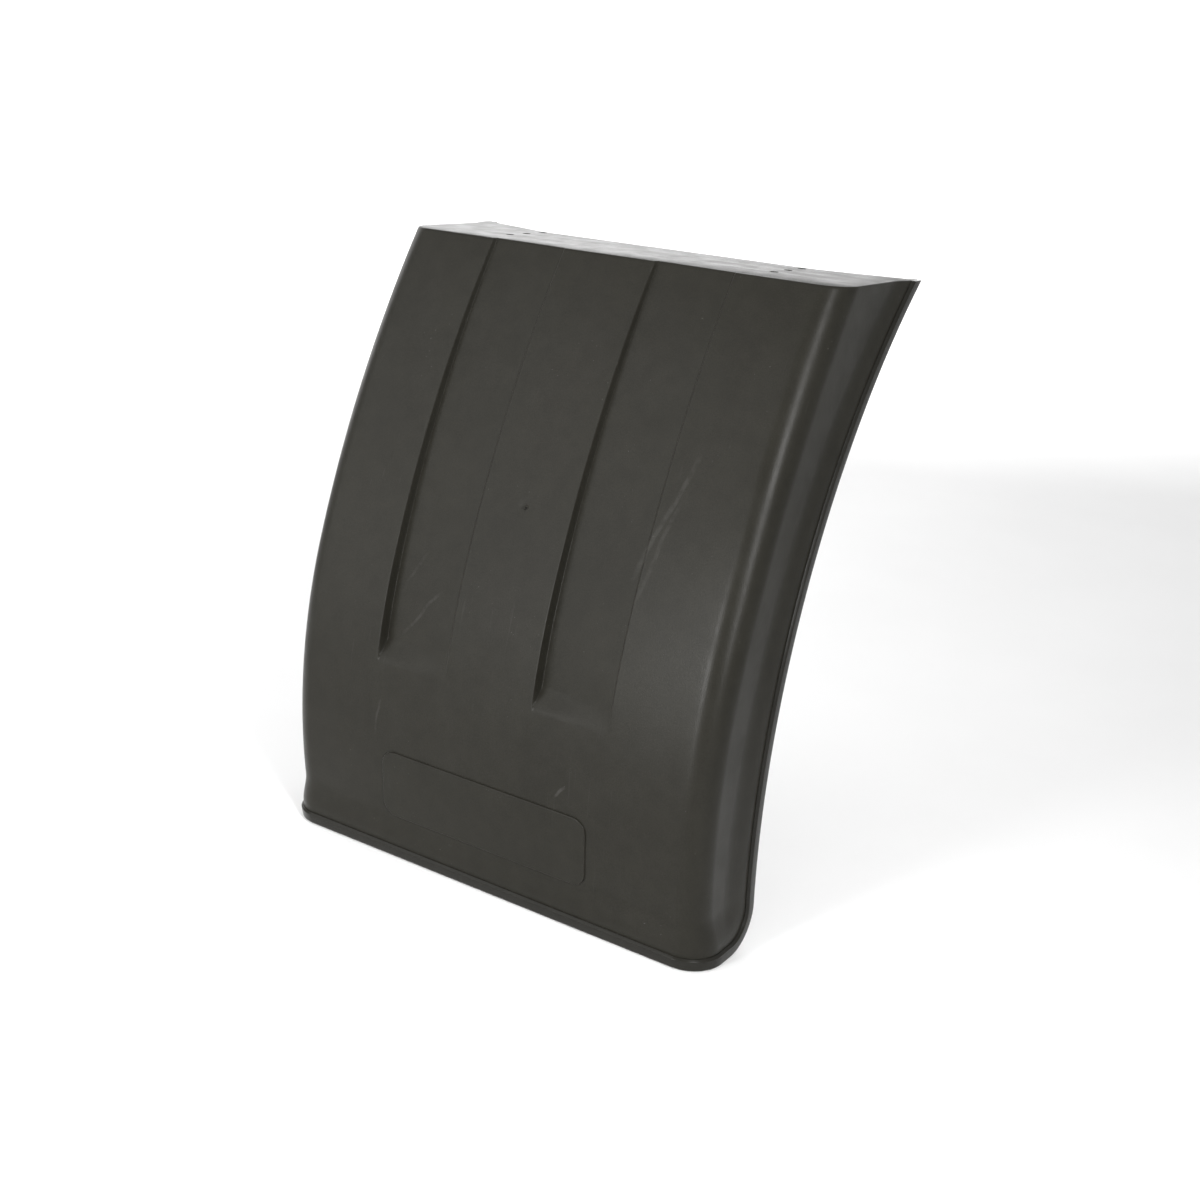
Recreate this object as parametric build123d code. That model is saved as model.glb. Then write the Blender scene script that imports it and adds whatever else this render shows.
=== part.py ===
from build123d import *
import math
import os

os.makedirs("parts", exist_ok=True)

# Truck mudguard section. Millimetres. X runs across the vehicle, the outer face looks towards -Y,
# the wheel is on the +Y side and +Z is up. The origin is the centre of the bolt pattern, on the
# top face of the fixing flange.

# Panel: two tangent arcs seen from the side. Lean is the slope from upright, top away from the front.
overall_width = 600.0
lower_radius = 700.0
upper_radius = 1400.0
bottom_lean = -14.0
break_lean = 16.0
top_lean = 32.0
wall = 4.0
corner_radius = 30.0

# Side walls: their free edge is an arc about the wheel centre.
side_depth = 110.0
arch_radius = 803.0
wheel_centre_rise = 135.0
heel_radius = 42.0

# Fixing flange across the top, with two rows of bolt holes that run front to back.
flange_thickness = 5.0
flange_depth = 136.0
flange_waist_width = 370.0
flange_waist_radius = 130.0
flange_horn_inset = 6.0
bolt_hole_diameter = 10.0
bolt_row_spacing = 355.0
bolt_pitch = 34.0
bolt_setback = 91.0

# Stiffening channels: deep at one side, almost level with the panel at the other.
channel_inner_gap = 120.0
channel_width = 100.0
channel_end_height = 242.0
channel_ramp = 26.0
channel_draft = 2.5
channel_depth_top = 5.0
channel_depth_foot = 12.0
channel_far_depth_top = 1.6
channel_far_depth_foot = 0.7

# Name plate, left blank, in a shallow seat.
plate_width = 288.0
plate_foot_height = 53.0
plate_top_height = 139.0
plate_corner_radius = 18.0
plate_seat_depth = 1.0
plate_proud = 2.0

# Edge strip pressed over the free edge of the panel and both side walls.
strip_stand = 11.0
strip_grip = 13.0
strip_cap = 3.0
strip_inner_leg = 2.5

half_width = overall_width / 2 - strip_stand
panel_top_y = -bolt_setback


def normal(lean):
    """Outward direction of the panel, as (y, z), where it leans by this much."""
    return -math.cos(math.radians(lean)), math.sin(math.radians(lean))


upper_centre = (
    panel_top_y - upper_radius * normal(top_lean)[0],
    -upper_radius * normal(top_lean)[1],
)
lower_centre = (
    upper_centre[0] + (upper_radius - lower_radius) * normal(break_lean)[0],
    upper_centre[1] + (upper_radius - lower_radius) * normal(break_lean)[1],
)
bottom_z = lower_centre[1] + lower_radius * normal(bottom_lean)[1]
wheel_z = bottom_z + wheel_centre_rise
wheel_y = lower_centre[0] - lower_radius + side_depth + arch_radius


def lean_at(height):
    """Lean of the panel at a height measured along the panel from its bottom edge."""
    lower_length = math.radians(break_lean - bottom_lean) * lower_radius
    if height < lower_length:
        return bottom_lean + math.degrees(height / lower_radius)
    return break_lean + math.degrees((height - lower_length) / upper_radius)


def panel_point(lean, out=0.0):
    """Point (y, z) at a distance out from the panel's outer face."""
    centre, radius = (lower_centre, lower_radius) if lean < break_lean else (upper_centre, upper_radius)
    direction = normal(lean)
    return centre[0] + (radius + out) * direction[0], centre[1] + (radius + out) * direction[1]


def lean_on(z, out, centre, radius):
    return math.degrees(math.asin((z - centre[1]) / (radius + out)))


def panel_curve(out, foot_lean, head_lean):
    """The panel's two arcs, moved out from its outer face."""
    foot = ThreePointArc(
        panel_point(foot_lean, out),
        panel_point((foot_lean + break_lean) / 2, out),
        panel_point(break_lean, out),
    )
    head = ThreePointArc(
        panel_point(break_lean, out),
        panel_point((break_lean + head_lean) / 2, out),
        panel_point(head_lean, out),
    )
    return foot, head


def arch_y(z, radius):
    return wheel_y - math.sqrt(radius**2 - (z - wheel_z) ** 2)


def side_outline(out, edge, top):
    """Side view of the section: out moves the panel face, edge moves the free edge, top is its height."""
    foot_z = bottom_z - edge
    radius = arch_radius - edge
    foot, head = panel_curve(
        out,
        lean_on(foot_z, out, lower_centre, lower_radius),
        lean_on(top, out, upper_centre, upper_radius),
    )
    rear_top = (arch_y(top, radius), top)
    rear_middle = (arch_y((top + foot_z) / 2, radius), (top + foot_z) / 2)
    rear_foot = (arch_y(foot_z, radius), foot_z)
    lines = Curve() + [
        foot,
        head,
        Line(head @ 1, rear_top),
        ThreePointArc(rear_top, rear_middle, rear_foot),
        Line(rear_foot, foot @ 0),
    ]
    return Plane.YZ * make_face(lines)


def arch_front(z):
    """A line between the panel and the free edge, to tell the two apart."""
    return arch_y(z, arch_radius + side_depth / 2)


def body(out, side, edge, top):
    """Solid of the section between its side planes, with its upright corners rounded."""
    solid = extrude(side_outline(out, edge, top), half_width + side, both=True)
    heel = solid.edges().filter_by(Axis.X).group_by(Axis.Z)[0].sort_by(Axis.Y)[-1]
    solid = fillet(heel, heel_radius + edge)
    uprights = [
        e
        for e in solid.edges().filter_by(GeomType.CIRCLE)
        if e.radius > lower_radius + out - 1 and e.center().Y < arch_front(e.center().Z)
    ]
    return fillet(uprights, corner_radius + out)


def channel_section(x, depth_top, depth_foot):
    """One cross-section of a channel cutter, in the plane at x: the floor is depth below the panel."""
    end_lean = lean_at(channel_end_height)
    foot_lean = lean_at(channel_end_height + channel_ramp)
    head_lean = top_lean + 1.0
    break_depth = (depth_top + depth_foot) / 2
    foot_floor = panel_point(foot_lean, -depth_foot)
    break_floor = panel_point(break_lean, -break_depth)
    head_floor = panel_point(head_lean, -depth_top)
    lower_middle = panel_point((foot_lean + break_lean) / 2, -(depth_foot + break_depth) / 2)
    upper_middle = panel_point((break_lean + head_lean) / 2, -(depth_top + break_depth) / 2)
    outside = [
        panel_point(head_lean, 30.0),
        panel_point(break_lean, 30.0),
        panel_point(end_lean, 8.0),
    ]
    lines = Curve() + [
        Line(outside[0], outside[1]),
        Line(outside[1], outside[2]),
        Line(outside[2], foot_floor),
        ThreePointArc(foot_floor, lower_middle, break_floor),
        ThreePointArc(break_floor, upper_middle, head_floor),
        Line(head_floor, outside[0]),
    ]
    return Plane.YZ.offset(x) * make_face(lines)


def channel(x, grow):
    """Cutter for the channel whose deep side is at x. grow thickens it for the relief on the back."""
    deep = channel_section(x + channel_draft - grow, channel_depth_top + grow, channel_depth_foot + grow)
    brow = channel_section(x - grow, grow - 0.3, grow - 0.3)
    far = channel_section(
        x + channel_width + grow, channel_far_depth_top + grow, channel_far_depth_foot + grow
    )
    return loft([brow, deep], ruled=True) + loft([deep, far], ruled=True)


def channels(grow):
    left = -channel_inner_gap / 2 - channel_width
    right = channel_inner_gap / 2
    return channel(left, grow) + channel(right, grow)


def plate_block(inner, outer):
    """A piece of the panel's curve, from inner to outer off its face, with the plate's outline."""
    foot_lean = lean_at(plate_foot_height)
    head_lean = lean_at(plate_top_height)
    middle_lean = (foot_lean + head_lean) / 2
    back = [panel_point(lean, inner) for lean in (foot_lean - 3, middle_lean, head_lean + 3)]
    front = [panel_point(lean, outer) for lean in (foot_lean - 3, middle_lean, head_lean + 3)]
    lines = Curve() + [
        ThreePointArc(*back),
        Line(back[2], front[2]),
        ThreePointArc(*front),
        Line(front[0], back[0]),
    ]
    slab = extrude(Plane.YZ * make_face(lines), plate_width, both=True)
    foot_z = panel_point(foot_lean)[1]
    head_z = panel_point(head_lean)[1]
    outline = RectangleRounded(plate_width, head_z - foot_z, plate_corner_radius)
    reach = upper_radius
    prism = extrude(Plane.XZ * Pos(0, (head_z + foot_z) / 2) * outline, reach, both=True)
    return slab & prism


def flange_notch():
    """Cutter that leaves the fixing flange shallow in the middle and full depth at the side walls."""
    rear = panel_top_y + flange_depth
    horn_x = half_width - wall
    horn_y = arch_y(0, arch_radius) - flange_horn_inset
    far = horn_y + 200
    waist = flange_waist_width / 2
    outline = Polyline(
        (-waist, rear),
        (waist, rear),
        (horn_x, horn_y),
        (horn_x, far),
        (-horn_x, far),
        (-horn_x, horn_y),
        close=True,
    )
    cut = make_face(outline)
    corners = cut.vertices().group_by(Axis.Y)[0]
    return extrude(fillet(corners, flange_waist_radius), flange_thickness + 1, both=True)


def bolt_holes():
    hole = Cylinder(bolt_hole_diameter / 2, 4 * flange_thickness)
    return [
        Pos(side * bolt_row_spacing / 2, row * bolt_pitch, 0) * hole
        for side in (-1, 1)
        for row in (-1, 0, 1)
    ]


def make_shell():
    outside = body(0, 0, 0, 0) - channels(0)
    beyond = 6 * wall
    inside = body(-wall, -wall, beyond, -flange_thickness) - channels(wall)
    shell = outside - inside - flange_notch() - bolt_holes()
    return shell - plate_block(-plate_seat_depth, 5 * plate_proud)


def make_name_plate():
    return plate_block(-plate_seat_depth, plate_proud)


def make_edge_strip(shell):
    """Strip with a channel section that follows the free edge, seated on the shell all the way."""
    outside = body(strip_stand, strip_stand, strip_cap, 0)
    beyond = 6 * wall
    inner = wall + strip_inner_leg
    inside = body(-inner, -inner, beyond, beyond)
    panel = extrude(side_outline(beyond, -strip_grip, beyond), overall_width, both=True)
    heel = panel.edges().filter_by(Axis.X).group_by(Axis.Z)[0].sort_by(Axis.Y)[-1]
    panel = fillet(heel, heel_radius - strip_grip)
    return outside - panel - inside - shell


shell = make_shell()
name_plate = make_name_plate()
edge_strip = make_edge_strip(shell)

export_step(shell, "parts/shell.step")
export_step(name_plate, "parts/name_plate.step")
export_step(edge_strip, "parts/edge_strip.step")
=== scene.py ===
import math

import bmesh
import bpy
import numpy as np
from mathutils import Matrix, Vector
from mathutils.geometry import delaunay_2d_cdt, tessellate_polygon


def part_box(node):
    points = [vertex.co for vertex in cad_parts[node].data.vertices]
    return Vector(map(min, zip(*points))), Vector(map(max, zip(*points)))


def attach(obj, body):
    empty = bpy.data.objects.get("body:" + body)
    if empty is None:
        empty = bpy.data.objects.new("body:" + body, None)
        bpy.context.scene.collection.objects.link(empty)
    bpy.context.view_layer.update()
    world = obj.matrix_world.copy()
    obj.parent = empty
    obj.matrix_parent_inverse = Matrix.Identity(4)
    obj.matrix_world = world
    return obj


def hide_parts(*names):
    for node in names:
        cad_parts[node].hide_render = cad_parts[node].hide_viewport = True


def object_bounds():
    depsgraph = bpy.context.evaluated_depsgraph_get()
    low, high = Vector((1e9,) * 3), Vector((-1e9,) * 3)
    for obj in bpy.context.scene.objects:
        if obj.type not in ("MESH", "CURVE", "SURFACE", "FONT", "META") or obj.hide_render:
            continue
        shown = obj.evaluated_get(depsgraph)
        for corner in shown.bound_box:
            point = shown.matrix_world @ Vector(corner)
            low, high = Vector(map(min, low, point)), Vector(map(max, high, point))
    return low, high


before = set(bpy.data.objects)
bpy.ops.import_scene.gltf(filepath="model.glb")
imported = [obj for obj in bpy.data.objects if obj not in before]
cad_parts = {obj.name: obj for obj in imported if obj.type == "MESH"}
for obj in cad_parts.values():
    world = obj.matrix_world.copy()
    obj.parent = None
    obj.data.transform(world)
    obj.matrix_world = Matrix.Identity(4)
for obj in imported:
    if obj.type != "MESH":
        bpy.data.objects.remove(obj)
cad_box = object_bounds()

# Truck mudguard section: shell, blank name plate and edge strip, as fine meshes that follow the CAD's
# surfaces. They differ from it in softer edges, in the walls' outward turn at the rim and in a slimmer
# strip. Lengths are millimetres in the row frame up to make_object, and metres in the materials and on
# the stage.

MM = 0.001
shell_low, shell_high = [np.array(corner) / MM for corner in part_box("shell")]
plate_low, plate_high = [np.array(corner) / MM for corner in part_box("name_plate")]

# Panel: two tangent arcs in side view. Lean is in radians, top away from the front.
LOWER_RADIUS, UPPER_RADIUS = 700.0, 1400.0
BOTTOM_LEAN, BREAK_LEAN, TOP_LEAN = (math.radians(a) for a in (-14.0, 16.0, 32.0))
WALL, CORNER, HEEL = 4.0, 30.0, 42.0
ARCH_RADIUS, SIDE_DEPTH, WHEEL_RISE = 803.0, 110.0, 135.0

half_width = shell_high[0]
bottom_z = shell_low[2]
lower_y = shell_low[1] + LOWER_RADIUS
lower_z = bottom_z - LOWER_RADIUS * math.sin(BOTTOM_LEAN)
upper_y = lower_y + (UPPER_RADIUS - LOWER_RADIUS) * math.cos(BREAK_LEAN)
upper_z = lower_z - (UPPER_RADIUS - LOWER_RADIUS) * math.sin(BREAK_LEAN)
wheel_y = shell_low[1] + SIDE_DEPTH + ARCH_RADIUS
wheel_z = bottom_z + WHEEL_RISE
corner_x = half_width - CORNER
lower_length = (BREAK_LEAN - BOTTOM_LEAN) * LOWER_RADIUS

# Channels: deep side first, then the far side, as distances across the panel.
CHANNELS = ((-160.0, -60.0), (60.0, 160.0))
CHANNEL_END, CHANNEL_RAMP = 243.0, 28.0
DEEP_FOOT, DEEP_TOP = 12.0, 5.0
FAR_FOOT, FAR_TOP = 0.7, 1.6
DEEP_EDGE, FAR_EDGE = 3.2, 1.4

# How far the walls turn outward before they meet the strip, and where that starts and how long it runs,
# up from the bottom edge and in from the side walls' free edges.
FLARE = 7.4
LOW_FLARE_START, SIDE_FLARE_START, FLARE_RUN = 58.0, 52.0, 42.0

# Fixing flange.
FLANGE, FLANGE_EASE = 5.0, 1.3
WAIST, WAIST_ROUND, FLANGE_DEPTH = 185.0, 130.0, 136.0
HOLE_RADIUS, ROW_SPACING, PITCH = 5.0, 355.0, 34.0


def smooth(t):
    t = np.clip(t, 0.0, 1.0)
    return t * t * (3.0 - 2.0 * t)


def face_y(w, z):
    """y of the panel's face at height z, moved back by w."""
    low = np.sin(BREAK_LEAN) * (LOWER_RADIUS - w) + lower_z
    r_low = LOWER_RADIUS - w
    r_up = UPPER_RADIUS - w
    y_low = lower_y - np.sqrt(np.maximum(r_low**2 - (z - lower_z) ** 2, 0.0))
    y_up = upper_y - np.sqrt(np.maximum(r_up**2 - (z - upper_z) ** 2, 0.0))
    return np.where(z < low, y_low, y_up)


def back_of(y, z):
    """How far behind the panel's face a point lies."""
    lean = np.arctan2(z - lower_z, lower_y - y)
    w_low = LOWER_RADIUS - np.hypot(lower_y - y, z - lower_z)
    w_up = UPPER_RADIUS - np.hypot(upper_y - y, z - upper_z)
    return np.where(lean < BREAK_LEAN, w_low, w_up)


def height_on_panel(z):
    """Distance along the panel from its bottom edge, for points at height z on its face."""
    low = np.arcsin(np.clip((z - lower_z) / LOWER_RADIUS, -1, 1))
    up = np.arcsin(np.clip((z - upper_z) / UPPER_RADIUS, -1, 1))
    s_low = (low - BOTTOM_LEAN) * LOWER_RADIUS
    s_up = lower_length + (up - BREAK_LEAN) * UPPER_RADIUS
    return np.where(low < BREAK_LEAN, s_low, s_up)


panel_length = float(height_on_panel(np.array(0.0)))


def z_at(s):
    """Height of the point at distance s along the panel."""
    lean = np.where(
        s < lower_length,
        BOTTOM_LEAN + s / LOWER_RADIUS,
        BREAK_LEAN + (s - lower_length) / UPPER_RADIUS,
    )
    z_low = lower_z + LOWER_RADIUS * np.sin(lean)
    z_up = upper_z + UPPER_RADIUS * np.sin(lean)
    return np.where(s < lower_length, z_low, z_up)


def arch_y(z, radius=ARCH_RADIUS):
    return wheel_y - np.sqrt(radius**2 - (z - wheel_z) ** 2)


def free_y(z):
    """y of the side wall's free edge, with its rounded heel."""
    up = np.clip(z - bottom_z, 0.0, HEEL)
    cut = HEEL - np.sqrt(np.maximum(HEEL**2 - (HEEL - up) ** 2, 0.0))
    return arch_y(z) - cut


def channel_depth(x, s):
    """How deep the stiffening channels sink below the panel's face, with softened edges."""
    run = np.clip((s - CHANNEL_END) / (panel_length - CHANNEL_END), 0.0, 1.0)
    ramp = smooth((s - CHANNEL_END) / CHANNEL_RAMP)
    deep = DEEP_FOOT + (DEEP_TOP - DEEP_FOOT) * run
    far = FAR_FOOT + (FAR_TOP - FAR_FOOT) * run
    total = 0.0
    for start, end in CHANNELS:
        wall = smooth((x - start + 0.4) / DEEP_EDGE)
        along = np.clip((x - start - 2.5) / (end - start - 2.5), 0.0, 1.0)
        edge = 1.0 - smooth((x - end + 0.6) / FAR_EDGE)
        total = total + (deep + (far - deep) * along) * wall * edge
    return total * ramp


def flare(to_bottom, to_arch):
    """Soft outward turn of the walls just before the edge strip."""
    low = smooth((LOW_FLARE_START - to_bottom) / FLARE_RUN)
    side = smooth((SIDE_FLARE_START - to_arch) / FLARE_RUN)
    return FLARE * (1.0 - (1.0 - low) * (1.0 - side))


SHARP_ANGLE = math.radians(38)


def make_object(name, points, faces, flat):
    """Object from points in millimetres, with its faces turned outward and those in flat kept flat."""
    mesh = bpy.data.meshes.new(name)
    mesh.from_pydata([tuple(p) for p in np.asarray(points) * MM], [], faces)
    mesh.validate()
    work = bmesh.new()
    work.from_mesh(mesh)
    bmesh.ops.recalc_face_normals(work, faces=work.faces)
    work.to_mesh(mesh)
    work.free()
    smooth_flags = np.ones(len(mesh.polygons), dtype=bool)
    smooth_flags[list(flat)] = False
    mesh.polygons.foreach_set("use_smooth", smooth_flags)
    mesh.set_sharp_from_angle(angle=SHARP_ANGLE)
    mesh.update()
    obj = bpy.data.objects.new(name, mesh)
    bpy.context.scene.collection.objects.link(obj)
    return obj


# ---- shell ---------------------------------------------------------------------------------------

def spread(*runs):
    """Positions from (start, end, count) runs, without repeats."""
    parts = [np.linspace(a, b, n, endpoint=False) for a, b, n in runs]
    return np.concatenate(parts + [np.array([runs[-1][1]])])


def panel_columns():
    """Places across the panel, close together at the channels' edges."""
    runs = [(-corner_x, CHANNELS[0][0] - 3.0, 14)]
    for k, (start, end) in enumerate(CHANNELS):
        runs.append((start - 3.0, start + 5.0, 20))
        runs.append((start + 5.0, end - 3.0, 14))
        runs.append((end - 3.0, end + 3.0, 12))
        after = CHANNELS[k + 1][0] - 3.0 if k + 1 < len(CHANNELS) else corner_x
        runs.append((end + 3.0, after, 16))
    return spread(*runs)


def row_heights():
    """Levels of the shell's rows, close together at the heel, the channels' foot and the flange."""
    turn = np.linspace(0.0, math.pi / 2, 15)
    heel = bottom_z + HEEL * (1.0 - np.cos(turn))
    foot, ramp_end = CHANNEL_END - 5.0, CHANNEL_END + 31.0
    low_runs = spread((45.0, foot, 36), (foot, ramp_end, 18))[:-1]
    body = z_at(np.concatenate([low_runs, np.linspace(ramp_end, panel_length - 12.0, 76)]))
    top = np.array([-8.0, -FLANGE, -3.6, -2.4, -1.5, -0.8, -0.3, 0.0])
    return np.concatenate([heel, body[body > heel[-1] + 1.0], top])


rows = row_heights()
panel_x = panel_columns()
SIDE_COLUMNS, CORNER_COLUMNS = 34, 20


def section(z, offset):
    """One level of the shell, from the left free edge round to the right one, moved in by offset."""
    depth_free = back_of(free_y(z), z)
    side_t = np.linspace(1.0, 0.0, SIDE_COLUMNS, endpoint=False)
    side_w = CORNER + (depth_free - CORNER) * side_t
    phi = np.linspace(math.pi / 2, 0.0, CORNER_COLUMNS, endpoint=False)
    s = float(height_on_panel(np.array(z)))
    to_bottom = z - bottom_z
    lift_side = flare(to_bottom, free_y(z) - face_y(side_w, z)) - offset
    lift_corner = flare(to_bottom, SIDE_DEPTH) - offset
    lift_panel = flare(to_bottom, SIDE_DEPTH) - offset - channel_depth(panel_x, s)
    half = []
    for w, lift in zip(side_w, lift_side):
        half.append((half_width + lift, w))
    for a in phi:
        r = CORNER + lift_corner
        half.append((corner_x + r * math.sin(a), CORNER - r * math.cos(a)))
    middle = [(x, -lift) for x, lift in zip(panel_x, lift_panel)]
    ring = [(-x, w) for x, w in half] + middle + [(x, w) for x, w in reversed(half)]
    xs = np.array([p[0] for p in ring])
    ws = np.array([p[1] for p in ring])
    return np.stack([xs, face_y(ws, np.full_like(ws, z)), np.full_like(ws, z)], axis=1)


def notch_points():
    """Rear edge of the flange from right to left: straight waist, rounded into straight horns."""
    horn = np.array([half_width - 1.0, float(arch_y(0.0)) - 6.0])
    rear = shell_top_front + FLANGE_DEPTH
    waist = np.array([WAIST, rear])
    out = (horn - waist) / np.linalg.norm(horn - waist)
    turn = math.acos(float(np.clip(out[0], -1, 1)))
    reach = WAIST_ROUND * math.tan(turn / 2)
    start = waist + out * reach
    centre = np.array([WAIST - reach, rear + WAIST_ROUND])
    arc = [
        centre + WAIST_ROUND * np.array([math.sin(a), -math.cos(a)])
        for a in np.linspace(turn, 0.0, 14)
    ]
    right = [horn, (horn + start) / 2] + arc
    left = [np.array([-p[0], p[1]]) for p in reversed(right)]
    return right + left


shell_top_front = float(face_y(np.array(0.0), np.array(0.0)))
HOLE_SIDES = 28


def shell_rings(points):
    """Adds the shell's levels to points. Returns the outer and the inner ones as lists of indices."""
    outer, inner = [], []

    def add(ring):
        points.extend(ring.tolist())
        return list(range(len(points) - len(ring), len(points)))

    for z in rows:
        rise = max(0.0, 1.0 + z / (2 * FLANGE_EASE))
        ease = FLANGE_EASE * (1.0 - math.sqrt(max(0.0, 1.0 - rise**2)))
        outer.append(add(section(z, ease)))
        # Above the flange's underside the inner rows stop, and the last one is used again.
        inner.append(add(section(z, WALL)) if z <= -FLANGE else inner[-1])
    return outer, inner


def sheet(grid):
    """Faces between neighbouring levels."""
    faces = []
    for a, b in zip(grid[:-1], grid[1:]):
        if a is not b:
            faces += [(a[k], a[k + 1], b[k + 1], b[k]) for k in range(len(a) - 1)]
    return faces


def free_edges(outer, inner):
    """Faces across the wall's thickness, along the bottom and up both sides."""
    o, i = outer[0], inner[0]
    faces = [(i[k], i[k + 1], o[k + 1], o[k]) for k in range(len(o) - 1)]
    for r in range(len(outer) - 1):
        for end in (0, -1):
            face = [inner[r][end], outer[r][end], outer[r + 1][end]]
            if inner[r] is not inner[r + 1]:
                face.append(inner[r + 1][end])
            faces.append(tuple(face))
    return faces


def flange_loops(points, edge, level):
    """Adds one face of the flange to points. Returns its front edge, which is the one given, its rear
    edge and its holes, as lists of indices."""
    first = len(points)
    points.extend([[x, y, level] for x, y in notch_points()])
    rear = list(range(first, len(points)))
    holes = []
    for row_x in (-ROW_SPACING / 2, ROW_SPACING / 2):
        for row_y in (-PITCH, 0.0, PITCH):
            first = len(points)
            for a in np.linspace(0.0, 2 * math.pi, HOLE_SIDES, endpoint=False):
                points.append([row_x + HOLE_RADIUS * math.cos(a), row_y + HOLE_RADIUS * math.sin(a), level])
            holes.append(list(range(first, len(points))))
    return edge, rear, holes


def flange_face(points, edge, rear, holes):
    """Triangles of one flat face of the flange, round its holes."""
    polygon = [edge + rear] + holes
    order = [v for loop in polygon for v in loop]
    loops = [[Vector((points[v][0], points[v][1], 0.0)) for v in loop] for loop in polygon]
    return [tuple(order[t] for t in tri) for tri in tessellate_polygon(loops)]


def build_shell():
    points = []
    outer, inner = shell_rings(points)
    front, inside = sheet(outer), sheet(inner)
    faces = front + inside + free_edges(outer, inner)
    top = flange_loops(points, outer[-1], 0.0)
    under = flange_loops(points, inner[-1], -FLANGE)

    first_flat = len(faces)
    faces += flange_face(points, *top) + flange_face(points, *under)
    o_path, i_path = ([edge[-1]] + rear + [edge[0]] for edge, rear, _ in (top, under))
    faces += [(i_path[k], i_path[k + 1], o_path[k + 1], o_path[k]) for k in range(len(o_path) - 1)]
    flat = range(first_flat, len(faces))
    for o, i in zip(top[2], under[2]):
        faces += [(o[k - 1], o[k], i[k], i[k - 1]) for k in range(HOLE_SIDES)]

    guard = make_object("guard_shell", points, faces, flat)
    for k in range(len(front), len(front) + len(inside)):
        guard.data.polygons[k].material_index = 1
    return guard


# ---- edge strip ----------------------------------------------------------------------------------

# Corners of the strip's section and the radius of each. The first number is off the wall's face, the
# second is past its free edge.
STRIP_CORNERS = (
    (5.2, -12.95, 0.0), (8.2, -12.95, 0.5), (11.0, -10.5, 1.0), (11.0, 3.0, 3.4),
    (-2.5, 3.0, 2.2), (-2.5, -13.0, 1.4), (1.6, -13.0, 1.0), (1.6, -11.5, 0.0),
)
ARC_POINTS = 6


def rounded(corners):
    """Closed outline with its corners rounded: straight runs joined by arcs."""
    outline = []
    for k, (n, b, radius) in enumerate(corners):
        corner = Vector((n, b))
        before = (Vector(corners[k - 1][:2]) - corner).normalized()
        after = (Vector(corners[(k + 1) % len(corners)][:2]) - corner).normalized()
        if radius == 0.0:
            outline.append(tuple(corner))
            continue
        half = before.angle(after) / 2
        centre = corner + (before + after).normalized() * radius / math.sin(half)
        start = corner + before * radius / math.tan(half) - centre
        end = corner + after * radius / math.tan(half) - centre
        turn = math.pi - 2 * half
        for t in np.linspace(0.0, 1.0, ARC_POINTS):
            weights = math.sin((1 - t) * turn), math.sin(t * turn)
            outline.append(tuple(centre + (start * weights[0] + end * weights[1]) / math.sin(turn)))
    return outline


STRIP_SECTION = rounded(STRIP_CORNERS)

# The strip's ends stop just under the flange's top face.
STRIP_TOP = -0.3


def strip_half():
    """Rings of the strip's section from the middle of the bottom edge to the top of the right side."""
    rings = []
    for x in np.linspace(0.0, corner_x, 30, endpoint=False):
        rings.append([(x, float(face_y(-n, bottom_z - b)), bottom_z - b) for n, b in STRIP_SECTION])
    for a in np.linspace(0.0, math.pi / 2, 22, endpoint=False):
        ring = []
        for n, b in STRIP_SECTION:
            r = CORNER + n
            y = float(face_y(CORNER - r * math.cos(a), bottom_z - b))
            ring.append((corner_x + r * math.sin(a), y, bottom_z - b))
        rings.append(ring)
    heel_z = bottom_z + HEEL
    heel_y = float(arch_y(heel_z, ARCH_RADIUS + HEEL))
    end_turn = math.pi / 2 + math.asin((wheel_z - heel_z) / (ARCH_RADIUS + HEEL))
    for t in np.linspace(0.0, 1.0, 7, endpoint=False):
        ring = []
        for n, b in STRIP_SECTION:
            front = float(face_y(CORNER, bottom_z - b))
            ring.append((half_width + n, front + (heel_y - front) * t, bottom_z - b))
        rings.append(ring)
    for a in np.linspace(0.0, end_turn, 26, endpoint=False):
        rings.append([
            (half_width + n, heel_y + (HEEL + b) * math.sin(a), heel_z - (HEEL + b) * math.cos(a))
            for n, b in STRIP_SECTION
        ])
    start = math.asin((heel_z - HEEL * math.cos(end_turn) - wheel_z) / ARCH_RADIUS)
    for t in np.linspace(0.0, 1.0, 90):
        ring = []
        for n, b in STRIP_SECTION:
            radius = ARCH_RADIUS - b
            end = math.asin((STRIP_TOP - wheel_z) / radius)
            a = start + (end - start) * t
            ring.append((half_width + n, wheel_y - radius * math.cos(a), wheel_z + radius * math.sin(a)))
        rings.append(ring)
    return rings


def ring_faces(ring_count, n):
    """Faces between rings of n points each that follow one another in the list of points."""
    faces = []
    for r in range(ring_count - 1):
        for k in range(n):
            a, b = r * n + k, r * n + (k + 1) % n
            faces.append((a, b, b + n, a + n))
    return faces


def build_strip():
    right = strip_half()
    left = [[(-x, y, z) for x, y, z in ring] for ring in reversed(right[1:])]
    rings = left + right
    n = len(STRIP_SECTION)
    points = [p for ring in rings for p in ring]
    faces = ring_faces(len(rings), n)
    flat = [len(faces), len(faces) + 1]
    faces.append(tuple(range(n)))
    faces.append(tuple(range(len(points) - n, len(points))))
    return make_object("edge_trim", points, faces, flat)


# ---- name plate ----------------------------------------------------------------------------------

def cell_centres(half, count):
    """Middles of count equal cells from -half to half."""
    return [-half + 2 * half * (k + 0.5) / count for k in range(count)]


PLATE_CORNER = 18.0

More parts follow.
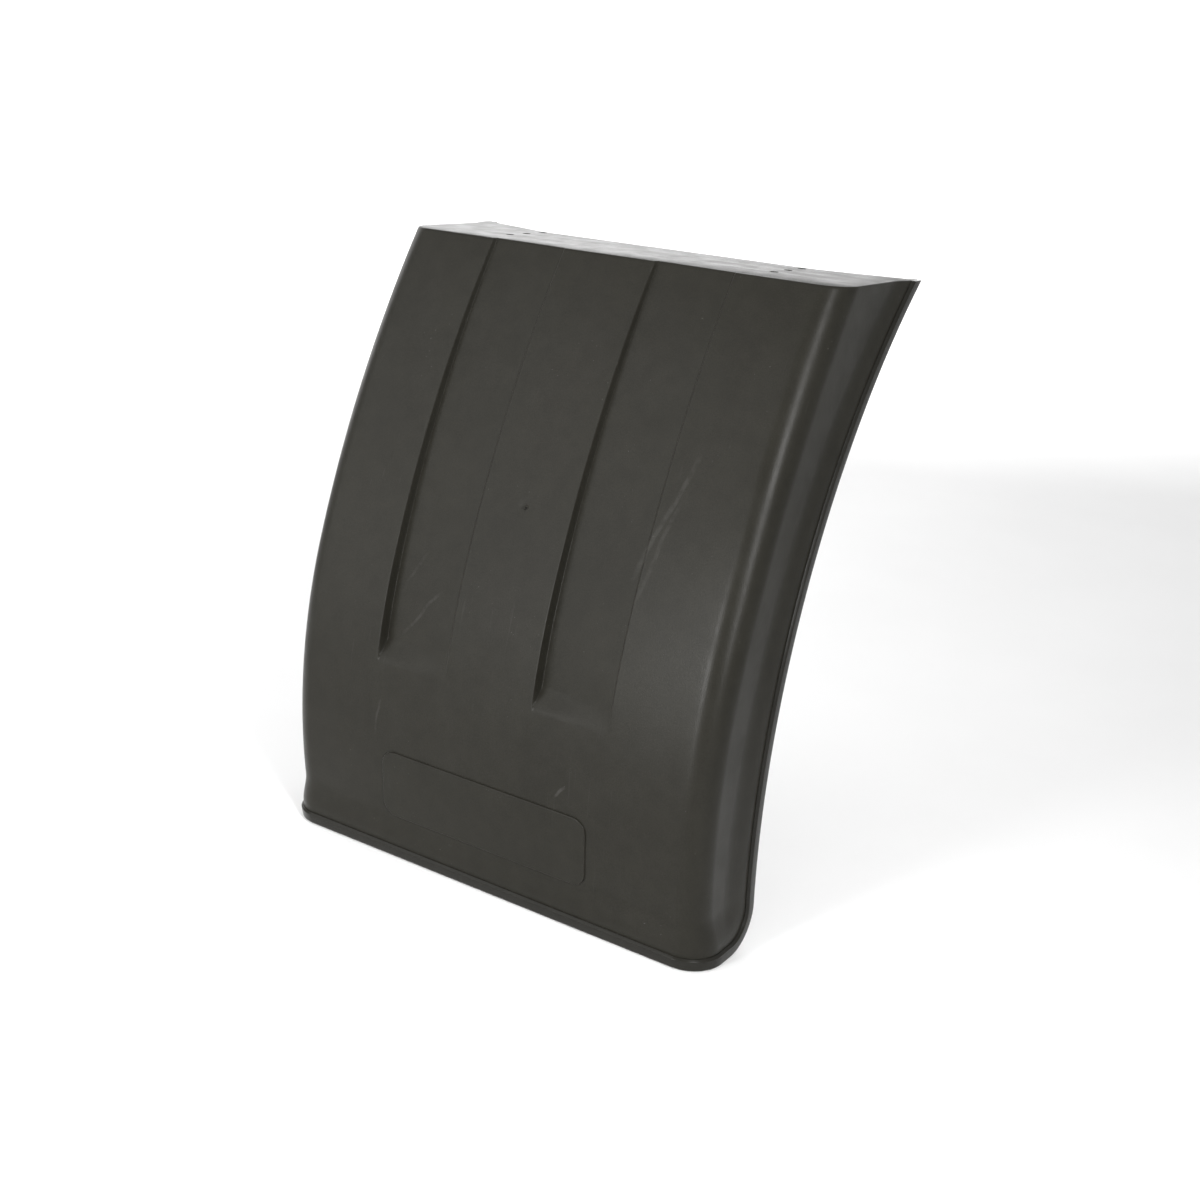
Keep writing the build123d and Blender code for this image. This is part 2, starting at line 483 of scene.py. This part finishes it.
# Rings of the plate, each with its inset from the outline and its height off the panel.
PLATE_RINGS = (
    (0.0, -1.0), (0.0, 0.6), (0.15, 1.2), (0.5, 1.7), (1.0, 1.95), (1.7, 2.0), (3.5, 2.0), (6.0, 2.0),
)


def build_plate():
    """Blank plate: rounded outline, eased front edge, on the panel's own curve."""
    middle_z = (plate_low[2] + plate_high[2]) / 2
    straight_x = plate_high[0] - PLATE_CORNER
    straight_z = (plate_high[2] - plate_low[2]) / 2 - PLATE_CORNER
    outline = []
    for side_x, side_z, start in ((1, 1, 0.0), (-1, 1, 90.0), (-1, -1, 180.0), (1, -1, 270.0)):
        for a in np.linspace(math.radians(start), math.radians(start + 90.0), 12):
            outline.append((side_x * straight_x, side_z * straight_z, math.cos(a), math.sin(a)))
    n = len(outline)

    points = []
    for inset, stand in PLATE_RINGS:
        for cx, cz, ux, uz in outline:
            x = cx + (PLATE_CORNER - inset) * ux
            z = middle_z + cz + (PLATE_CORNER - inset) * uz
            points.append((x, float(face_y(-stand, z)), z))
    faces = ring_faces(len(PLATE_RINGS), n)

    # The middle of the front follows the panel on a fine grid inside the last ring.
    inset, stand = PLATE_RINGS[-1]
    inner_corner = PLATE_CORNER - inset
    last_ring = list(range(len(points) - n, len(points)))
    first = len(points)
    for x in cell_centres(straight_x + inner_corner, 48):
        for z in cell_centres(straight_z + inner_corner, 18):
            past_x, past_z = abs(x) - straight_x, abs(z) - straight_z
            if past_x > 0 and past_z > 0 and math.hypot(past_x, past_z) > inner_corner - 2.0:
                continue
            points.append((x, float(face_y(-stand, middle_z + z)), middle_z + z))
    ids = last_ring + list(range(first, len(points)))
    flat_points = [Vector((points[v][0], points[v][2])) for v in ids]
    border = [(k, (k + 1) % n) for k in range(n)]
    _, _, triangles, origin, _, _ = delaunay_2d_cdt(flat_points, border, [], 1, 1e-6)
    faces += [tuple(ids[origin[t][0]] for t in triangle) for triangle in triangles]
    faces.append(tuple(range(n)))
    return make_object("blank_plate", points, faces, [len(faces) - 1])


# ---- materials -----------------------------------------------------------------------------------

DUST = (0.085, 0.083, 0.078, 1.0)
GRAIN_DEPTH = 0.0003
gate_z = float(z_at(np.array(0.605 * panel_length)))


class Nodes:
    """A small helper that keeps the node code short."""

    def __init__(self, name):
        self.material = bpy.data.materials.new(name)
        self.material.use_nodes = True
        self.tree = self.material.node_tree
        self.tree.nodes.clear()

    def add(self, kind, **sockets):
        node = self.tree.nodes.new(kind)
        for key, value in sockets.items():
            self.set(node, key, value)
        return node

    def set(self, node, key, value):
        numbered = key[0] == "i" and key[1:].isdigit()
        socket = node.inputs[int(key[1:]) if numbered else key.replace("_", " ")]
        if isinstance(value, bpy.types.NodeSocket):
            self.tree.links.new(value, socket)
        else:
            socket.default_value = value

    def math(self, op, a, b=0.0, clamp=False):
        node = self.add("ShaderNodeMath", i0=a, i1=b)
        node.operation = op
        node.use_clamp = clamp
        return node.outputs[0]

    def range(self, value, low, high, to_low, to_high, soft=True):
        node = self.add("ShaderNodeMapRange")
        node.interpolation_type = "SMOOTHSTEP" if soft else "LINEAR"
        names = ("Value", "From Min", "From Max", "To Min", "To Max")
        for key, v in zip(names, (value, low, high, to_low, to_high)):
            self.set(node, key, v)
        return node.outputs[0]

    def noise(self, vector, scale, detail=2.0, rough=0.5):
        node = self.add("ShaderNodeTexNoise", Vector=vector, Scale=scale, Detail=detail, Roughness=rough)
        return node.outputs[0]

    def stretch(self, vector, scale, turn=(0.0, 0.0, 0.0)):
        node = self.add("ShaderNodeMapping", Vector=vector, Scale=scale, Rotation=turn)
        return node.outputs[0]

    def shade(self, colour, tone):
        """The colour multiplied by a grey tone."""
        grey = self.add("ShaderNodeCombineXYZ", X=tone, Y=tone, Z=tone)
        mix = self.add("ShaderNodeMixRGB", Fac=1.0, Color1=colour, Color2=grey.outputs[0])
        mix.blend_type = "MULTIPLY"
        return mix.outputs[0]


def general_wear(n, place):
    """Faint rubs along and across the panel, and specks, each in patches."""
    rub = n.noise(n.stretch(place, (260.0, 60.0, 9.0), (0.0, 0.35, 0.0)), 1.0, 3.0, 0.65)
    rub_zone = n.range(n.noise(place, 9.0, 2.0, 0.5), 0.52, 0.66, 0.0, 1.0)
    along = n.math("MULTIPLY", n.range(rub, 0.62, 0.74, 0.0, 1.0), rub_zone)
    cross = n.noise(n.stretch(place, (40.0, 60.0, 300.0), (0.0, -0.5, 0.0)), 1.0, 3.0, 0.65)
    cross_zone = n.range(n.noise(place, 6.0, 2.0, 0.5), 0.55, 0.68, 0.0, 1.0)
    across = n.math("MULTIPLY", n.range(cross, 0.66, 0.76, 0.0, 0.8), cross_zone)
    speck = n.range(n.noise(place, 420.0, 1.0, 0.4), 0.76, 0.82, 0.0, 1.0)
    speck_zone = n.range(n.noise(place, 14.0, 2.0, 0.5), 0.52, 0.66, 0.0, 1.0)
    rubs = n.math("MULTIPLY", n.math("ADD", along, across), 0.12)
    return n.math("ADD", rubs, n.math("MULTIPLY", speck, speck_zone))


def scratches(n, place, px, pz, marks, worn):
    """Adds broken, slightly bent scratches to worn."""
    if not marks:
        return worn
    bend = n.range(n.noise(place, 22.0, 2.0, 0.6), 0.0, 1.0, -0.006, 0.006, False)
    breaks = n.range(n.noise(place, 90.0, 2.0, 0.6), 0.3, 0.65, 0.15, 1.0)
    for ax, az, bx, bz, width, strength in marks:
        length = math.hypot(bx - ax, bz - az)
        ux, uz = (bx - ax) / length, (bz - az) / length
        dx, dz = n.math("SUBTRACT", px, ax), n.math("SUBTRACT", pz, az)
        along = n.math("ADD", n.math("MULTIPLY", dx, ux), n.math("MULTIPLY", dz, uz))
        off = n.math("SUBTRACT", n.math("MULTIPLY", dx, uz), n.math("MULTIPLY", dz, ux))
        off = n.math("ABSOLUTE", n.math("ADD", off, bend))
        line = n.range(off, width * 0.3, width, 1.0, 0.0)
        fade_in = n.range(along, 0.0, 0.25 * length, 0.0, 1.0)
        fade_out = n.range(along, 0.75 * length, length, 1.0, 0.0)
        mark = n.math("MULTIPLY", line, n.math("MULTIPLY", fade_in, fade_out))
        mark = n.math("MULTIPLY", mark, n.math("MULTIPLY", breaks, strength))
        worn = n.math("ADD", worn, mark)
    return worn


def gate_mark(n, place, px, pz, normal):
    """Relief of the moulding gate on the panel, with the panel's slow waves. Returns the new normal and
    a painted shade that darkens the pit at the mark's centre."""
    dz = n.math("SUBTRACT", pz, gate_z * MM)
    dz2 = n.math("MULTIPLY", n.math("MULTIPLY", dz, dz), 1.15)
    r = n.math("SQRT", n.math("ADD", n.math("MULTIPLY", px, px), dz2))
    dish = n.range(r, 0.002, 0.014, -1.0, 0.0)
    ring_start = n.range(r, 0.0015, 0.0026, 0.0, 1.0)
    ring = n.math("MULTIPLY", ring_start, n.range(r, 0.003, 0.0042, 1.0, 0.0))
    pip = n.range(r, 0.0008, 0.0018, 1.0, 0.0)
    relief = n.math("ADD", n.math("MULTIPLY", dish, 0.0009), n.math("MULTIPLY", ring, 0.0006))
    relief = n.math("SUBTRACT", relief, n.math("MULTIPLY", pip, 0.0012))
    wave = n.noise(n.stretch(place, (5.0, 5.0, 3.0)), 1.0, 2.0, 0.5)
    relief = n.math("ADD", relief, n.math("MULTIPLY", wave, 0.0015))
    mould = n.add("ShaderNodeBump", Strength=1.0, Distance=1.0, Height=relief, Normal=normal)
    # The second value is painted shade: it darkens the colour in the centre pit.
    return mould.outputs[0], n.range(r, 0.0006, 0.0018, 0.25, 1.0)


def plastic(name, tint, rough, grain, wear, marks=()):
    """Moulded black polyethylene: fine grain, cloudy tone, light scuffs and dust. marks are scratches on
    the front: two ends as x and z in metres, a half-width and a strength."""
    n = Nodes(name)
    place = n.add("ShaderNodeTexCoord").outputs["Object"]
    split = n.add("ShaderNodeSeparateXYZ", Vector=place)
    px, pz = split.outputs[0], split.outputs[2]
    grains = n.noise(place, 900.0, 2.0, 0.6)
    coarse = n.noise(place, 330.0, 2.0, 0.5)

    tone = n.range(n.noise(place, 7.0, 4.0, 0.6), 0.3, 0.7, 0.94, 1.06)
    tone = n.math("MULTIPLY", tone, n.range(n.noise(place, 55.0, 3.0, 0.6), 0.3, 0.7, 0.95, 1.05))
    tone = n.math("MULTIPLY", tone, n.range(grains, 0.25, 0.75, 0.84, 1.16))
    worn = scratches(n, place, px, pz, marks, general_wear(n, place))
    worn = n.math("MULTIPLY", worn, wear, True)
    base = n.shade((*tint, 1.0), tone)
    colour = n.add("ShaderNodeMixRGB", Fac=worn, Color1=base, Color2=DUST).outputs[0]

    roughness = n.range(n.noise(place, 30.0, 3.0, 0.6), 0.3, 0.7, rough - 0.04, rough + 0.04)
    roughness = n.math("ADD", roughness, n.math("MULTIPLY", worn, 0.2))
    height = n.math("ADD", n.math("MULTIPLY", grains, 0.6), n.math("MULTIPLY", coarse, 0.4))
    bump = n.add("ShaderNodeBump", Strength=grain, Distance=GRAIN_DEPTH, Height=height)
    normal = bump.outputs[0]
    if marks:
        normal, painted_pit_shade = gate_mark(n, place, px, pz, normal)
        # Painted shade: darkens the colour in the gate mark's centre pit.
        colour = n.shade(colour, painted_pit_shade)
    shader = n.add("ShaderNodeBsdfPrincipled", Base_Color=colour, Roughness=roughness, Normal=normal)
    shader.inputs["Specular IOR Level"].default_value = 0.12
    n.add("ShaderNodeOutputMaterial", Surface=shader.outputs[0])
    return n.material


def plain(name, colour, rough):
    """Matt paper with a barely uneven tone."""
    n = Nodes(name)
    place = n.add("ShaderNodeTexCoord").outputs["Object"]
    tone = n.range(n.noise(place, 3.0, 3.0, 0.5), 0.3, 0.7, 0.985, 1.0)
    base = n.shade((*colour, 1.0), tone)
    shader = n.add("ShaderNodeBsdfPrincipled", Base_Color=base, Roughness=rough)
    n.add("ShaderNodeOutputMaterial", Surface=shader.outputs[0])
    return n.material


# Light handling marks on the front: two long rubs at the right, short ones at the left and the foot.
MARKS = (
    (0.146, -0.330, 0.196, -0.165, 0.0040, 0.22),
    (0.160, -0.350, 0.186, -0.215, 0.0034, 0.17),
    (-0.135, -0.445, -0.085, -0.375, 0.0028, 0.24),
    (-0.150, -0.400, -0.118, -0.340, 0.0024, 0.18),
    (-0.158, -0.570, -0.150, -0.515, 0.0024, 0.24),
    (0.100, -0.566, 0.114, -0.548, 0.0024, 0.40),
)

shell = build_shell()
strip = build_strip()
plate = build_plate()
for piece, node, slot_name in (
    (shell, "shell", "shell"),
    (strip, "edge_strip", "strip"),
    (plate, "name_plate", "plate"),
):
    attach(piece, "root")
    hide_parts(node)

BLACK = (0.0145, 0.0137, 0.0108)
shell.data.materials.append(plastic("grained_black", BLACK, 0.33, 0.6, 0.6, MARKS))
shell.data.materials.append(plastic("grained_inside", BLACK, 0.4, 0.6, 0.4))
plate.data.materials.append(plastic("grained_plate", BLACK, 0.33, 0.6, 0.4))
strip.data.materials.append(plastic("strip_black", (0.0140, 0.0134, 0.0112), 0.22, 0.2, 0.3))

# ---- stage ---------------------------------------------------------------------------------------

low, high = cad_box
centre = (Vector(low) + Vector(high)) / 2


def build_backdrop():
    """Floor that sweeps up into a low wall, well behind the object as the camera sees it."""
    turn = math.radians(CAMERA_AZIMUTH)
    flat_to, sweep = 4.0, 3.0
    profile = [(-12.0, 0.0), (flat_to, 0.0)]
    for a in np.linspace(0.1, math.pi / 2, 14):
        profile.append((flat_to + sweep * math.sin(a), sweep * (1.0 - math.cos(a))))
    profile.append((flat_to + sweep, 5.0))
    points, faces = [], []
    for away, up in profile:
        for across in (-14.0, 14.0):
            x = across * math.cos(turn) - away * math.sin(turn)
            y = across * math.sin(turn) + away * math.cos(turn)
            points.append((x, y, low[2] + up))
    for k in range(len(profile) - 1):
        faces.append((2 * k, 2 * k + 1, 2 * k + 3, 2 * k + 2))
    mesh = bpy.data.meshes.new("floor")
    mesh.from_pydata(points, [], faces)
    mesh.polygons.foreach_set("use_smooth", [True] * len(faces))
    obj = bpy.data.objects.new("floor", mesh)
    bpy.context.scene.collection.objects.link(obj)
    return obj


CAMERA_AZIMUTH = 31.78
floor = build_backdrop()
floor.data.materials.append(plain("pale_floor", (0.93, 0.93, 0.93), 0.9))

bpy.context.scene.view_settings.view_transform = "Standard"
world = bpy.data.worlds.new("studio")
bpy.context.scene.world = world
world.use_nodes = True
world.node_tree.nodes["Background"].inputs[0].default_value = (1.0, 1.0, 1.0, 1.0)
world.node_tree.nodes["Background"].inputs[1].default_value = 0.61


def direction(azimuth, elevation):
    a, e = math.radians(azimuth), math.radians(elevation)
    return Vector((math.sin(a) * math.cos(e), -math.cos(a) * math.cos(e), math.sin(e)))


def softbox(name, place, target, width, height, power, beam=180.0):
    """Area light that faces a target, with an optional grid that narrows its beam, in degrees."""
    light = bpy.data.lights.new(name, "AREA")
    light.shape = "RECTANGLE"
    light.size, light.size_y = width, height
    light.energy = power
    light.spread = math.radians(beam)
    obj = bpy.data.objects.new(name, light)
    obj.location = place
    obj.rotation_euler = (place - target).to_track_quat("Z", "Y").to_euler()
    bpy.context.scene.collection.objects.link(obj)


# Lights round the object: azimuth, elevation, distance, width, height, power and beam.
for name, azimuth, elevation, distance, width, height, power, beam in (
    ("overhead", 0.0, 88.0, 2.8, 3.0, 3.0, 8.0, 180.0),
    ("key", -38.0, 21.0, 3.0, 1.9, 3.0, 36.0, 180.0),
    ("front_band", -8.0, 6.0, 2.6, 0.4, 1.1, 46.0, 180.0),
    ("right_band", 55.0, 26.0, 2.5, 0.38, 2.1, 11.0, 70.0),
    ("left_fill", -100.0, 18.0, 2.8, 1.0, 1.6, 10.0, 180.0),
    ("rear_rim", 212.0, 21.0, 4.0, 3.0, 1.3, 13.5, 180.0),
):
    softbox(name, centre + direction(azimuth, elevation) * distance, centre, width, height, power, beam)
behind = CAMERA_AZIMUTH + 180.0
wash_from = centre + direction(behind, 33.0) * 4.6
wash_on = centre + direction(behind, 6.0) * 7.0
softbox("backdrop_wash", wash_from, wash_on, 5.0, 1.5, 190.0)

# ---- camera --------------------------------------------------------------------------------------

def place_camera(azimuth, elevation, roll, position, lens):
    a, e, r = (math.radians(v) for v in (azimuth, elevation, roll))
    forward = Vector((-math.sin(a) * math.cos(e), math.cos(a) * math.cos(e), -math.sin(e)))
    right = Vector((math.cos(a), math.sin(a), 0.0))
    down = forward.cross(right)
    x_axis = right * math.cos(r) + down * math.sin(r)
    y_axis = right * math.sin(r) - down * math.cos(r)
    turn = Matrix((x_axis, y_axis, -forward)).transposed().to_4x4()
    data = bpy.data.cameras.new("camera")
    data.sensor_width = 36.0
    data.lens = lens
    obj = bpy.data.objects.new("camera", data)
    obj.matrix_world = Matrix.Translation(Vector(position)) @ turn
    bpy.context.scene.collection.objects.link(obj)
    bpy.context.scene.camera = obj


place_camera(CAMERA_AZIMUTH, 17.98, -4.54, (0.9636, -1.6068, 0.1795), 47.607)
